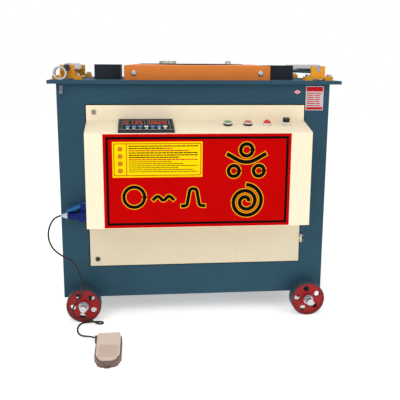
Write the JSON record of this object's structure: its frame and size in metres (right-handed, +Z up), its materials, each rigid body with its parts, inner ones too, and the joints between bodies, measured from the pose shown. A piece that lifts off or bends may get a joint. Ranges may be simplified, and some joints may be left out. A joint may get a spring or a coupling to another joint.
{
  "type": "rebar bending machine",
  "caption": "Floor-standing rebar bender: steel cabinet on cast wheels, flat table with turning disc, socket strips, support rollers, hinged console door and corded foot pedal.",
  "frame": {"origin": "on the floor, at the middle of the box round the machine and its foot pedal", "axes": "+Z up; the console and the foot pedal are on the -Y side, the operator's side; +X is the operator's right"},
  "size_m": [1.0138, 1.191, 0.899],
  "materials": {
    "cabinet_paint": "satin enamel",
    "guard_paint": "satin enamel",
    "bracket_paint": "satin enamel",
    "door_paint": "satin enamel",
    "wheel_paint": "gloss enamel",
    "machine_paint": "satin enamel",
    "black_steel": "oil blacked",
    "bare_steel": "turned",
    "plated_steel": "zinc plated",
    "chrome_tube": "polished",
    "cast_housing": "painted casting",
    "bronze_gear": "machined bronze",
    "belt_rubber": "matt",
    "cable_jacket": "matt",
    "display_case": "fine texture",
    "black_plastic": "moulded",
    "green_plastic": "moulded",
    "red_plastic": "moulded",
    "lamp_lens": "clear moulded",
    "pale_plastic": "moulded",
    "blue_plastic": "moulded",
    "grey_plastic": "moulded",
    "treadle_plastic": "ribbed",
    "pedal_plastic": "moulded"
  },
  "bodies": {
    "machine": {"table_plate": "cabinet_paint", "cabinet_front_frame": "cabinet_paint", "cabinet_left_side": "cabinet_paint", "cabinet_right_side": "cabinet_paint", "cabinet_rear_panel": "cabinet_paint", "base_frame": "cabinet_paint", "mains_gland": "black_plastic", "cable_hook": "plated_steel", "wheel_axles": "bare_steel", "axle_caps": "plated_steel", "hinge_frame_halves": "plated_steel", "guard_plate": "guard_paint", "guard_brackets": "guard_paint", "guard_bolts": "plated_steel", "hole_strip_left": "black_steel", "hole_strip_right": "black_steel", "roller_shafts": "bare_steel", "roller_brackets": "bracket_paint", "bracket_bolts": "plated_steel", "sleeve_holder": "bracket_paint", "spare_sleeve": "chrome_tube", "gearbox_housing": "cast_housing", "bearings": "bare_steel", "motor_body": "machine_paint", "drive_belts": "belt_rubber", "socket_housing": "blue_plastic", "plug_body": "blue_plastic", "plug_gland": "grey_plastic", "pedal_base": "pedal_plastic", "pedal_pin": "bare_steel", "pedal_cable": "cable_jacket"},
    "door": {"door_panel": "door_paint", "console_box": "door_paint", "display_unit": "display_case", "control_collars": "black_plastic", "signal_lamp": "lamp_lens", "inverter": "display_case"},
    "start_button": {"start_button": "green_plastic"},
    "stop_button": {"stop_button": "red_plastic"},
    "selector": {"selector_knob": "black_plastic"},
    "upper_lock": {"lock_upper": "plated_steel"},
    "lower_lock": {"lock_lower": "plated_steel"},
    "front_left_wheel": {"wheel_front_left": "wheel_paint"},
    "front_right_wheel": {"wheel_front_right": "wheel_paint"},
    "rear_left_wheel": {"wheel_rear_left": "wheel_paint"},
    "rear_right_wheel": {"wheel_rear_right": "wheel_paint"},
    "left_roller": {"roller_left": "chrome_tube"},
    "right_roller": {"roller_right": "chrome_tube"},
    "disc": {"working_disc": "bare_steel", "main_shaft": "bare_steel", "worm_wheel": "bronze_gear", "disc_pins": "bare_steel"},
    "sleeve": {"bending_sleeve": "bare_steel"},
    "worm": {"worm_shaft": "bare_steel", "worm_pulley": "black_steel"},
    "rotor": {"motor_shaft": "bare_steel", "motor_pulley": "black_steel"},
    "knob": {"clamp_knob": "black_steel"},
    "lid": {"socket_lid": "blue_plastic"},
    "treadle": {"pedal_treadle": "treadle_plastic"}
  },
  "joints": [
    {"name": "door_swing", "type": "hinge", "parent": "machine", "child": "door", "pos_m": [0.381, -0.1745, 0.445], "axis": [0, 0, 1], "range_deg": [0, 90]},
    {"name": "upper_lock_turn", "type": "hinge", "parent": "door", "child": "upper_lock", "pos_m": [-0.35, -0.1695, 0.726], "axis": [0, 1, 0], "range_deg": [0, 90]},
    {"name": "lower_lock_turn", "type": "hinge", "parent": "door", "child": "lower_lock", "pos_m": [-0.35, -0.1695, 0.209], "axis": [0, -1, 0], "range_deg": [0, 90]},
    {"name": "start_press", "type": "slide", "parent": "door", "child": "start_button", "axis": [0, 0.2313, -0.9729], "range_m": [0, 0.004], "stiffness_N_per_m": 600, "springref_m": -0.002},
    {"name": "stop_press", "type": "slide", "parent": "door", "child": "stop_button", "axis": [0, 0.2313, -0.9729], "range_m": [0, 0.004], "stiffness_N_per_m": 600, "springref_m": -0.002},
    {"name": "selector_turn", "type": "hinge", "parent": "door", "child": "selector", "pos_m": [0.3015, -0.2165, 0.6855], "axis": [0, -0.2313, 0.9729], "range_deg": [-60, 60]},
    {"name": "front_left_wheel_spin", "type": "hinge", "parent": "machine", "child": "front_left_wheel", "pos_m": [-0.399, -0.2195, 0.06], "axis": [0, 1, 0], "continuous": true},
    {"name": "front_right_wheel_spin", "type": "hinge", "parent": "machine", "child": "front_right_wheel", "pos_m": [0.399, -0.2195, 0.06], "axis": [0, 1, 0], "continuous": true},
    {"name": "rear_left_wheel_spin", "type": "hinge", "parent": "machine", "child": "rear_left_wheel", "pos_m": [-0.399, 0.5405, 0.06], "axis": [0, 1, 0], "continuous": true},
    {"name": "rear_right_wheel_spin", "type": "hinge", "parent": "machine", "child": "rear_right_wheel", "pos_m": [0.399, 0.5405, 0.06], "axis": [0, 1, 0], "continuous": true},
    {"name": "left_roller_spin", "type": "hinge", "parent": "machine", "child": "left_roller", "pos_m": [-0.439, 0.1305, 0.8715], "axis": [0, 1, 0], "continuous": true},
    {"name": "right_roller_spin", "type": "hinge", "parent": "machine", "child": "right_roller", "pos_m": [0.437, 0.1305, 0.8715], "axis": [0, 1, 0], "continuous": true},
    {"name": "disc_spin", "type": "hinge", "parent": "machine", "child": "disc", "pos_m": [0.008, 0.1605, 0.869], "axis": [0, 0, 1], "continuous": true},
    {"name": "sleeve_spin", "type": "hinge", "parent": "disc", "child": "sleeve", "pos_m": [-0.082, 0.1605, 0.893], "axis": [0, 0, 1], "continuous": true},
    {"name": "worm_spin", "type": "hinge", "parent": "machine", "child": "worm", "pos_m": [0.008, 0.2961, 0.72], "axis": [1, 0, 0], "continuous": true},
    {"name": "rotor_spin", "type": "hinge", "parent": "machine", "child": "rotor", "pos_m": [0.008, 0.2961, 0.225], "axis": [1, 0, 0], "continuous": true},
    {"name": "knob_turn", "type": "hinge", "parent": "machine", "child": "knob", "pos_m": [-0.439, -0.1235, 0.8715], "axis": [0, 1, 0], "range_deg": [-170, 170]},
    {"name": "lid_swing", "type": "hinge", "parent": "machine", "child": "lid", "pos_m": [-0.386, -0.2055, 0.412], "axis": [0, 1, 0], "range_deg": [0, 60], "stiffness_Nm_per_rad": 0.02, "springref_deg": -28.65},
    {"name": "treadle_press", "type": "hinge", "parent": "machine", "child": "treadle", "pos_m": [-0.305, -0.4295, 0.021], "axis": [1, 0, 0], "range_deg": [0, 2.4], "stiffness_Nm_per_rad": 12, "springref_deg": -11.46}
  ],
  "couplings": [
    {"joint": "worm_spin", "follows": "disc_spin", "ratio": 15},
    {"joint": "rotor_spin", "follows": "disc_spin", "ratio": 30}
  ]
}
